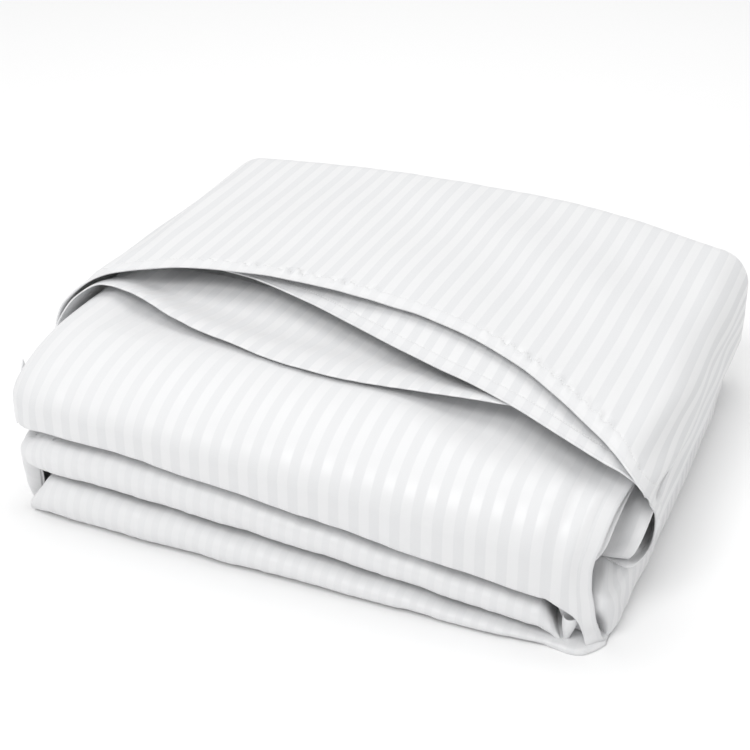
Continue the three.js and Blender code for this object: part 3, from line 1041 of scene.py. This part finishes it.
    def bottom_fold(self) -> Sheet:
        """The bottom fold with the underside, whose rear rises to the folds at the back.

        Returns:
            The sheet, before it is made a mesh.
        """
        grid = swept(stretches(-290, (262, 190), (291, 22)), self._bottom_section)
        start = np.clip((-262 - grid[..., 0]) / 28, 0, 1)
        edge = -279 - 18 * (1 - smooth(2, 44, grid[..., 2]))
        grid[..., 0] = np.where(grid[..., 0] < -262, -262 + (edge + 262) * start, grid[..., 0])
        grid[..., 1] += 2 * start**2 * (grid[..., 1] < 60)
        grid[..., 2] = np.maximum(grid[..., 2], 0.0)
        flat = flat_sizes(grid)
        by_hand = creases((0, float(flat[10, 0, 1])), [
            (-252, 4, -279, 52, 3.5, -2.2),
            (-250, 22, -270, 54, 3.5, -1.6),
            (-262, 6, -284, 46, 4, 1.2),
        ])
        reliefs = [Waves(31, 70, 90, 0.5), Waves(32, 16, 40, 0.15), *by_hand]
        off_floor = smooth(0.4, 5.0, grid[..., 2])
        return Sheet("bottom_fold", grid, flat, Side.AS_IS, 1.4, reliefs=reliefs, relief_share=off_floor,
                     stripe_scale=self.lower_stripes)

    def _back_section(self, x: float) -> Array:
        """Section of the two folds at the back, the upper one first.

        Args:
            x: place across the width.

        Returns:
            Rows of y and z.
        """
        at = FORM.at(max(x, self.closed_end))
        first = (at["base"] + at["low"]) / 2
        second = (at["low"] + at["high"]) / 2
        third = (at["high"] + at["loft"]) / 2
        half = FORM.slit / 2
        parts = []
        for bottom, top, back in ((second + half, third - half, at["back"] - 2),
                                  (first + half, second - half, at["back"] - 3)):
            depth = self._depth(top - bottom)
            turn = arc(back - depth, (bottom + top) / 2, depth, (top - bottom) / 2, 90, -90, 18)
            parts.append(np.array([[back - depth - 60, top], [back - depth, top]]))
            parts.append(turn)
            parts.append(np.array([[back - depth, bottom], [back - depth - 60, bottom]]))
        return join(list(zip(parts, (5, 18, 5, 3, 18, 5))))

    def back_folds(self) -> Sheet:
        """The folds that turn round at the back, between the front ones."""
        grid = swept(np.linspace(-296, 288, 130), self._back_section)
        return Sheet("back_folds", grid, flat_sizes(grid), Side.AS_IS, 1.4, reliefs=[Waves(41, 90, 60, 0.6)])

    def right_wall(self) -> Sheet:
        """The wall at the right end, from the dark wedge beside the corner to the back.

        Returns:
            The sheet, before it is made a mesh.
        """
        front = np.array([(250, 28), (262, 20), (274, 16), (283, 15.6), (288.6, 17.6), (292, 22), (294.6, 32),
                          (296.4, 47), (297.6, 66)])
        side = np.array([(297.6, 66), (299.5, 130), (301, 220), (302, 320), (301, 440), (297.5, 500),
                         (290, 524), (276, 534), (250, 538)])
        plan = np.concatenate([soften(resample(front, 56), 2), soften(resample(side, 90), 5)[1:]])
        travel = travel_along(plan)
        inward = left_of(plan)
        top = Table("run z", [(0, 52), (45, 50), (60, 48), (75, 49), (110, 54), (400, 56), (640, 58)])
        backwards = np.array([-0.25, 0.97])
        ridge = int(np.argmax(plan[:56, 0] > 290))
        columns = []
        for i in range(len(plan)):
            keep = self._nose(7.0, 0.4, float(top("z", travel[i])), 2.6, 1.0, 40)[7:-6]
            wedge = 16.0 * float(smooth(-8, 16, travel[ridge] - travel[i]))
            place = plan[i] + inward[i] * keep[:, :1]
            place[:, 1] += wedge * (1 - smooth(10, 42, keep[:, 1]))
            ply = np.linspace(42.0, 2.0, 12)[:, None]
            heading = lerp(backwards, inward[i], float(smooth(90, 140, travel[i])))
            shelf = np.column_stack([place[0] + heading * ply, keep[0, 1] + 13 * (ply / 42) ** 0.5])
            columns.append(soften(np.concatenate([shelf, np.column_stack([place, keep[:, 1]])]), 6))
        grid = np.stack(columns, axis=1)
        flat = flat_sizes(grid)
        by_hand = creases((float(flat[0, 0, 0]), 0), [(60, 52, 84, 98, 6, -1.3), (46, 56, 54, 92, 6, 1.0)])
        return Sheet("right_wall", grid, flat, Side.TURNED, 1.5, reliefs=[Waves(51, 70, 60, 0.5), *by_hand])

    def side_roll(self) -> Sheet:
        """The rolled ply inside the opening at the right end.

        Returns:
            The sheet, before it is made a mesh.
        """
        path = np.array([(150, 117), (118, 115.5), (92, 111), (74, 102), (62, 91), (54.5, 80), (52, 71.5),
                         (54, 66), (60, 63), (72, 62.4), (96, 63)])
        y, z = soften(resample(path, 70), 6).T[:, :, None]
        end = Table("z x", [
            (60, 293), (66, 296), (72, 299.5), (80, 303), (96, 307), (104, 308.5), (118, 309),
        ])
        share = np.linspace(0, 1, 44)
        x = 236 + (end("x", z) - 236) * share
        grid = np.stack([x, y + 5.0 * share**3, np.broadcast_to(z, x.shape)], axis=2)
        reliefs = [Crease((6, 30), (26, 82), 7, 1.6), Waves(61, 40, 40, 0.5)]
        return Sheet("side_roll", grid, flat_sizes(grid), Side.TURNED, 1.5, reliefs=reliefs)

    def tip_curl(self) -> Sheet:
        """The small inner ply that curls up behind the tip of the middle fold.

        Returns:
            The sheet, before it is made a mesh.
        """
        z = np.linspace(0.9, 29, 26)[:, None]
        angle = math.pi * (1.5 + np.linspace(-0.5, 0.95, 22))
        radius = 0.8 + 5.2 * smooth(0, 26, z)
        lean = smooth(0, 30, z)
        x = 257.5 + 2.4 * lean + radius * np.cos(angle)
        y = 8.0 + 2.0 * lean + radius * np.sin(angle) * 1.2
        grid = np.stack([x, y, np.broadcast_to(z, x.shape)], axis=2)
        return Sheet("tip_curl", grid, flat_sizes(grid), Side.TURNED, 1.2)


@dataclass(frozen=True)
class StitchedSeam:
    """A row of stitches along a line, laid out with Geometry Nodes and kept as a plain mesh."""

    name: str
    line: Array
    thread: bpy.types.Material
    seed: int
    pitch: float = 3.4
    length: float = 2.5
    radius: float = 0.36
    tilt: float = 0.06

    def build(self) -> bpy.types.Object:
        """Makes the stitches.

        Returns:
            The new object, at the origin.
        """
        path = bpy.data.meshes.new(f"{self.name}_path")
        links = [(i, i + 1) for i in range(len(self.line) - 1)]
        path.from_pydata([tuple(point) for point in self.line], links, [])
        holder = add_object(f"{self.name}_holder", path)
        modifier = holder.modifiers.new("stitches", "NODES")
        modifier.node_group = self._tree()
        values = {
            "Pitch": self.pitch * MM, "Length": self.length * MM, "Radius": self.radius * MM,
            "Seed": self.seed, "Material": self.thread,
        }
        for item in modifier.node_group.interface.items_tree:
            if item.item_type == "SOCKET" and item.in_out == "INPUT" and item.name in values:
                modifier[item.identifier] = values[item.name]
        bpy.context.view_layer.update()
        evaluated = holder.evaluated_get(bpy.context.evaluated_depsgraph_get())
        mesh = bpy.data.meshes.new_from_object(evaluated)
        mesh.name = self.name
        holder.modifiers.remove(modifier)
        bpy.data.objects.remove(holder)
        return add_object(self.name, mesh)

    def _tree(self) -> bpy.types.GeometryNodeTree:
        """Node tree that lays one stitch at every pitch of the line it is given.

        Returns:
            The tree, with named inputs for its sizes.
        """
        tree = bpy.data.node_groups.new(f"{self.name}_tree", "GeometryNodeTree")
        inputs = {"Line": "Geometry", "Pitch": "Float", "Length": "Float", "Radius": "Float", "Seed": "Int",
                  "Material": "Material"}
        for name, kind in inputs.items():
            tree.interface.new_socket(name, in_out="INPUT", socket_type=f"NodeSocket{kind}")
        tree.interface.new_socket("Stitches", in_out="OUTPUT", socket_type="NodeSocketGeometry")

        def node(kind: str, options: dict | None = None, **wires: object) -> bpy.types.Node:
            """Adds a node, sets its options and joins or sets its inputs.

            Args:
                kind: the node's type.
                options: properties, set first.
                **wires: values or sockets by input name, with _ for spaces.

            Returns:
                The new node.
            """
            made = tree.nodes.new(kind)
            for name, value in (options or {}).items():
                setattr(made, name, value)
            for name, value in wires.items():
                socket = made.inputs[name.replace("_", " ")]
                if isinstance(value, bpy.types.NodeSocket):
                    tree.links.new(value, socket)
                else:
                    socket.default_value = value
            return made

        given = node("NodeGroupInput").outputs
        curve = node("GeometryNodeMeshToCurve", Mesh=given["Line"])
        spaced = node("GeometryNodeResampleCurve", {"mode": "LENGTH"}, Curve=curve.outputs[0],
                      Length=given["Pitch"])
        heading = node("GeometryNodeInputTangent")
        turned = node("FunctionNodeAlignRotationToVector", {"axis": "Z"}, Vector=heading.outputs[0])
        jitter = node("FunctionNodeRandomValue", {"data_type": "FLOAT_VECTOR"}, Seed=given["Seed"],
                      Min=(-self.tilt, -self.tilt, 0.0), Max=(self.tilt, self.tilt, 0.0))
        tipped = node("FunctionNodeRotateRotation", {"rotation_space": "LOCAL"},
                      Rotation=turned.outputs[0], Rotate_By=jitter.outputs[0])
        ball = node("GeometryNodeMeshUVSphere", Segments=8, Rings=6, Radius=1.0)
        half = node("ShaderNodeMath", {"operation": "MULTIPLY"})
        tree.links.new(given["Length"], half.inputs[0])
        half.inputs[1].default_value = 0.5
        size = node("ShaderNodeCombineXYZ", X=given["Radius"], Y=given["Radius"], Z=half.outputs[0])
        placed = node("GeometryNodeInstanceOnPoints", Points=spaced.outputs[0], Instance=ball.outputs["Mesh"],
                      Rotation=tipped.outputs[0], Scale=size.outputs[0])
        real = node("GeometryNodeRealizeInstances", Geometry=placed.outputs[0])
        smooth_faces = node("GeometryNodeSetShadeSmooth", Geometry=real.outputs[0])
        finished = node("GeometryNodeSetMaterial", Geometry=smooth_faces.outputs[0],
                        Material=given["Material"])
        node("NodeGroupOutput", Stitches=finished.outputs[0])
        return tree


@dataclass
class MouthPanels:
    """The hemmed mouth end of the cover: the top panel, the under panel and the lower lip."""

    material: bpy.types.Material
    thread: bpy.types.Material
    hem: float = 18.0
    near_hem: tuple = ((14, 10), (22, 9), (34, 8))
    hang_left: float = 106.0
    hang_right: float = 178.0
    tuck_height: float = 66.0
    tuck_round: float = 7.0
    lip_round: float = 34.0
    top_edge: Table = Table("u y", [
        (-414, 108), (-385, 116), (-366, 123), (-353.6, 128), (-344, 133), (-332.4, 140), (-320, 153),
        (-307.3, 167.7), (-292, 184), (-271.4, 200), (-252, 211.6), (-233, 219.5), (-195, 226.8),
        (-156, 230.3), (-117, 231.5), (-77, 230.1), (-37, 226.6), (3, 220.4), (42, 211.2), (82, 196.7),
        (121, 180.8), (160, 160), (199, 131), (239, 98.3), (259, 81.3), (279, 61.2), (293, 51.3),
        (308, 46.9), (318, 49.8), (335, 64.6), (367, 94.5), (379, 101.5), (388, 102.5), (395, 97),
        (400.5, 86), (405, 74), (409, 63), (415.5, 57), (424, 59), (446, 63),
    ])
    under_edge: Table = Table("u y droop", [
        (-300, 250, 3), (-240, 247, 4), (-200, 243.5, 5.5), (-165, 239.4, 7), (-144, 233.8, 8),
        (-124, 227.9, 9), (-83, 212.6, 10), (-42, 196.4, 11), (-1, 178.6, 11.6), (40, 160.7, 12),
        (81, 144, 11.6), (122, 130, 11), (162, 114.2, 10.6), (203, 93.3, 9.5), (243, 72.1, 8),
        (262, 62.4, 7), (280, 55.2, 6), (293, 54.1, 5.5), (304, 55.6, 5), (330, 62, 3),
    ])
    lip_edge: Table = Table("u y lift", [
        (-352, 114, 9), (-337, 130.6, 11), (-325, 143, 12.5), (-313, 156, 12.5), (-302, 166.5, 11),
        (-293, 168.7, 10), (-272, 166.2, 9), (-250, 159.2, 8.5), (-229, 151.5, 7), (-209.5, 142.7, 5.7),
        (-191, 136.7, 4.6), (-171, 130.6, 3.5), (-131.5, 122.6, 1.8), (-90, 112.8, 1.5), (-50, 105.9, 1.4),
        (-10, 103.3, 1.7), (30, 105.5, 2.6), (69, 109.5, 4.2), (112, 112, 6.4), (154, 117, 8.2),
        (173, 120.5, 8.6), (214, 130, 8.4),
    ])

    def build(self) -> list[bpy.types.Object]:
        """Makes and dresses the three sheets of the mouth.

        Returns:
            The finished pieces.
        """
        top, under, lip = self.top_panel(), self.under_panel(), self.lower_lip()
        pieces = []
        for sheet, node, seed in ((top, "top_panel", 5), (under, "under_panel", 6)):
            stitches = self._stitches(sheet, node.replace("panel", "hem_stitches"), seed)
            pieces.append(dress(sheet, self.material, node, stitches))
        return pieces + [dress(lip, self.material, "lower_lip")]

    def _stitches(self, sheet: Sheet, name: str, seed: int) -> bpy.types.Object:
        """Sews the hem of a sheet, one stitch after the other along its stitch line.

        Args:
            sheet: the hemmed sheet.
            name: name of the stitches.
            seed: seed of their small tilts.

        Returns:
            The stitches, as one object.
        """
        row = int(np.argmin(np.abs(stretches(0, *self.near_hem) - self.hem)))
        shown = sheet.points()
        line = shown[row] + normals_of(shown)[row] * 0.12
        return StitchedSeam(name, (line + ORIGIN_SHIFT) * MM, self.thread, seed).build()

    def _near_rows(self, edge: Table, u: Array, near: Array) -> Array:
        """Rows of places along the cloth, each at its distance square to a slanting hem.

        Args:
            edge: the hem's line.
            u: places across the cloth.
            near: the distances.

        Returns:
            Rows of v, one for each distance.
        """
        step = 0.5
        slope = (edge("y", u + step) - edge("y", u - step)) / (2 * step)
        return edge("y", u) + near[:, None] * np.minimum(np.sqrt(1 + slope**2), 1.7)

    def _hem_relief(self, distance: Array, seed: int, height: float) -> Callable[[Array, Array], Array]:
        """Puckers along a hem's stitch line, and the line's own groove.

        Args:
            distance: each grid point's distance from the hem's edge.
            seed: seed of the puckers.
            height: height of the puckers.

        Returns:
            A relief of the flat cloth.
        """
        near = np.exp(-(((distance - self.hem) / 6.5) ** 2))
        groove = -0.45 * np.exp(-(((distance - self.hem) / 1.2) ** 2))
        step = 0.4 * (1 - smooth(self.hem - 0.5, self.hem + 1.2, distance))
        bead = 0.5 * np.exp(-((distance / 1.6) ** 2))

        def relief(u: Array, v: Array) -> Array:
            """Puckers run square to the hem, with an uneven pitch.

            Args:
                u, v: places on the flat cloth.

            Returns:
                Height in millimetres at each place.
            """
            rng = np.random.default_rng(seed)
            total = np.zeros(u.shape)
            for _ in range(6):
                pitch = rng.uniform(8.5, 17.0)
                phase = rng.uniform(0, 2 * math.pi)
                total += np.sin(2 * math.pi * (u / pitch + rng.uniform(-0.4, 0.4) * distance / pitch) + phase)
            gathered = 0.7 + 0.5 * np.sin(u / 47.0 + seed)
            return near * gathered * height * total / 2.6 + groove + step + bead

        return relief

    def top_panel(self) -> Sheet:
        """The top panel, from its front hem over the stack and down three of its sides.

        Returns:
            The sheet, before it is made a mesh.
        """
        left = FORM.panel_left + FORM.panel_round
        right = FORM.panel_right - FORM.panel_round
        u = stretches(left - self.hang_left, (left, 34), (right, 176), (right + self.hang_right, 62))
        middle = np.clip(u, left, right)
        hang = lerp(self.hang_left, 128.0, (middle - left) / (right - left))
        back = FORM.panel("back", middle) - FORM.panel_round
        near = stretches(0, *self.near_hem, (52, 7))
        rows = self._near_rows(self.top_edge, u, near)
        v = np.concatenate([rows, lerp(rows[-1], back, shares(55)), back + shares(33) * hang])
        away = np.concatenate([near[:, None], near[-1] + shares(55) * 250, np.full((33, 1), 400.0)])
        u = np.broadcast_to(u, v.shape)
        away = np.broadcast_to(away, v.shape)
        x, y, z = FORM.over_edges(u, v, 0.0)
        x, z = self._tuck(u, x, z)
        z = z - 1.3 * np.exp(-((away / 9.0) ** 2)) * plateau(u, -340, -300, 300, 340)
        grid = np.stack([x, y, z], axis=2)
        single = smooth(self.hem - 1, self.hem + 1, away)
        by_hand = creases((0, 0), [
            (-300, 214, -322, 520, 12, -1.6, 6),
            (-318, 240, -352, 500, 11, 1.4),
            (-352, 190, -366, 470, 9, -1.3),
            (-285, 260, -300, 430, 14, 1.0),
            (-330, 170, -300, 250, 9, 1.0),
            (300, 70, 332, 250, 11, -1.8),
            (318, 60, 352, 190, 9, 1.6),
            (340, 72, 372, 230, 9, -1.6),
            (290, 90, 306, 240, 13, 1.0),
            (352, 90, 346, 330, 10, 1.1),
            (330, 300, 372, 470, 12, -1.3),
            (262, 100, 284, 200, 8, -0.8),
            (180, 170, 214, 240, 12, -0.5),
        ])
        waves = [Waves(71, 240, 200, 0.8), Waves(72, 60, 150, 0.22)]
        reliefs = [*waves, self._hem_relief(away, 73, 2.3), *by_hand]
        return Sheet("top_panel_cloth", grid, np.stack([u, v], axis=2), Side.AS_IS,
                     edge_thickness=lerp(1.9, 1.3, single), reliefs=reliefs, doubled=1 - single)

    def _tuck(self, u: Array, x: Array, z: Array) -> tuple[Array, Array]:
        """Turns the right hanging side in under the roll.

        Args:
            u: places across the flat cloth.
            x, z: where the cloth hangs before the tuck.

        Returns:
            The new x and z.
        """
        below = np.where(u > 300, np.maximum(self.tuck_height - z, 0), 0)
        angle = np.minimum(below / self.tuck_round, math.pi / 2)
        straight = np.maximum(below - self.tuck_round * math.pi / 2, 0)
        turned_x = x - self.tuck_round * (1 - np.cos(angle)) - straight
        turned_z = self.tuck_height - self.tuck_round * np.sin(angle) + 0.12 * straight
        return np.where(below > 0, turned_x, x), np.where(below > 0, turned_z, z)

    def under_panel(self) -> Sheet:
        """The under panel, whose hem droops in front so that the mouth gapes.

        Returns:
            The sheet, before it is made a mesh.
        """
        right = FORM.panel_right - FORM.panel_round
        u = stretches(-288, (right, 170), (right + 55, 20))
        near = stretches(0, *self.near_hem, (60, 7))
        rows = self._near_rows(self.under_edge, u, near)
        v = np.concatenate([rows, lerp(rows[-1], np.maximum(430.0, rows[-1] + 60), shares(25))])
        away = np.concatenate([near[:, None], near[-1] + shares(25) * 200])
        u = np.broadcast_to(u, v.shape)
        away = np.broadcast_to(away, v.shape)
        x, y, z = FORM.over_edges(u, v, 3.4)
        z = z - self.under_edge("droop", u) * (1 - smooth(0, 110, v - self.under_edge("y", u)))
        single = smooth(self.hem - 1, self.hem + 1, away)
        reliefs = [self._hem_relief(away, 83, 0.35), Waves(81, 120, 120, 0.35)]
        return Sheet("under_panel_cloth", np.stack([x, y, z], axis=2), np.stack([u, v], axis=2), Side.AS_IS,
                     edge_thickness=lerp(1.8, 1.3, single), reliefs=reliefs, doubled=0.4 * (1 - single))

    def lower_lip(self) -> Sheet:
        """The lower lip, which lies on the top fold and turns down over the left end.

        Returns:
            The sheet, before it is made a mesh.
        """
        u = np.linspace(-350, 205, 186)
        rows = self._near_rows(self.lip_edge, u, stretches(0, (30, 18), (50, 6)))
        v = np.concatenate([rows, lerp(rows[-1], 268.0, shares(23))])
        u = np.broadcast_to(u, v.shape)
        x = np.maximum(u, self.lip_round - 328.6)
        turn = (x - u) / self.lip_round
        front = self.lip_edge("y", u)
        free = FORM.levels("crown", x) + self.lip_edge("lift", u)
        height = lerp(free, FORM.top(x, v) + 0.8, smooth(0, 0.5, (v - front) / (270 - front))) + 2.5
        x = x - self.lip_round * np.sin(turn)
        z = height - self.lip_round * (1 - np.cos(turn))
        reliefs = [Waves(91, 90, 90, 0.35), Waves(92, 24, 50, 0.1)]
        grid = np.stack([x, v, z], axis=2)
        return Sheet("lower_lip_cloth", grid, np.stack([u, v], axis=2), Side.AS_IS, 1.5, reliefs=reliefs)


def dress(sheet: Sheet, material: bpy.types.Material, node: str,
          sewn: bpy.types.Object | None = None) -> bpy.types.Object:
    """Makes a sheet's object, gives it its material, puts it under the body, hides the solid that it stands
    for and logs its size.

    Args:
        sheet: the sheet.
        material: its finish.
        node: the solid that it stands for.
        sewn: the stitches on it, if it has any.

    Returns:
        The finished piece.
    """
    piece = sheet.build()
    piece.data.materials.append(material)
    extra = [] if sewn is None else [sewn]
    for part in [piece] + extra:
        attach(part, BODY)
    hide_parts(node)
    log.info("%s: %d faces, %.3f m2", piece.name, len(piece.data.polygons), sheet.area())
    return piece


@dataclass
class Studio:
    """Floor, light and camera."""

    lens: float = 73.54
    camera_place: tuple[float, float, float] = (0.52405, -1.33736, 0.871)
    camera_turn: tuple[float, float, float] = (60.9, 0.0, 22.5)
    world: float = 0.66

    def build(self) -> None:
        """Sets up everything round the object."""
        self.floor()
        self.lights()
        self.camera()
        bpy.context.scene.view_settings.view_transform = "Standard"

    def floor(self) -> None:
        """A large plain floor."""
        mesh = bpy.data.meshes.new("floor")
        form = bmesh.new()
        bmesh.ops.create_grid(form, x_segments=2, y_segments=2, size=6.0)
        form.to_mesh(mesh)
        form.free()
        mesh.materials.append(PaleFloor().build())
        add_object("floor", mesh)

    def lights(self) -> None:
        """A soft box in front, one above and a pale surround."""
        self._soft_box("key", (-0.25, -2.3, 3.15), 1.6, 53.0)
        self._soft_box("top", (-0.2, 1.0, 3.4), 3.0, 40.0)
        world = bpy.data.worlds.new("surround")
        world.use_nodes = True
        background = world.node_tree.nodes["Background"]
        background.inputs["Color"].default_value = (1.0, 1.0, 1.0, 1.0)
        background.inputs["Strength"].default_value = self.world
        bpy.context.scene.world = world

    def _soft_box(self, name: str, place: tuple, size: float, power: float) -> None:
        """One square soft box that faces the object.

        Args:
            name: name of the light.
            place: where it stands, in metres.
            size: length of its side.
            power: watts.
        """
        light = bpy.data.lights.new(name, "AREA")
        light.shape = "SQUARE"
        light.size = size
        light.energy = power
        box = add_object(name, light)
        box.location = place
        aim = Vector((0.0, 0.0, 0.08)) - Vector(place)
        box.rotation_euler = aim.to_track_quat("-Z", "Y").to_euler()

    def camera(self) -> None:
        """The camera, at the photograph's angle."""
        data = bpy.data.cameras.new("camera")
        data.lens = self.lens
        data.sensor_width = 36.0
        camera = add_object("camera", data)
        camera.location = self.camera_place
        camera.rotation_euler = [math.radians(angle) for angle in self.camera_turn]
        bpy.context.scene.camera = camera


def main() -> None:
    """Builds the cover and the studio."""
    logging.basicConfig(level=logging.INFO, format="%(name)s %(message)s")
    Studio().build()
    bold = Sateen()
    soft = Sateen("white_sateen_of_top_fold", (0.770, 0.772, 0.778, 1.0), (0.724, 0.728, 0.736, 1.0))
    even = Sateen("white_sateen_of_lower_folds", (0.770, 0.772, 0.778, 1.0), (0.744, 0.747, 0.754, 1.0))
    pieces = CoverBody(soft.build(), even.build()).build()
    pieces += MouthPanels(bold.build(), Thread().build()).build()
    log.info("%d pieces", len(pieces))


if __name__ == "__main__":
    main()
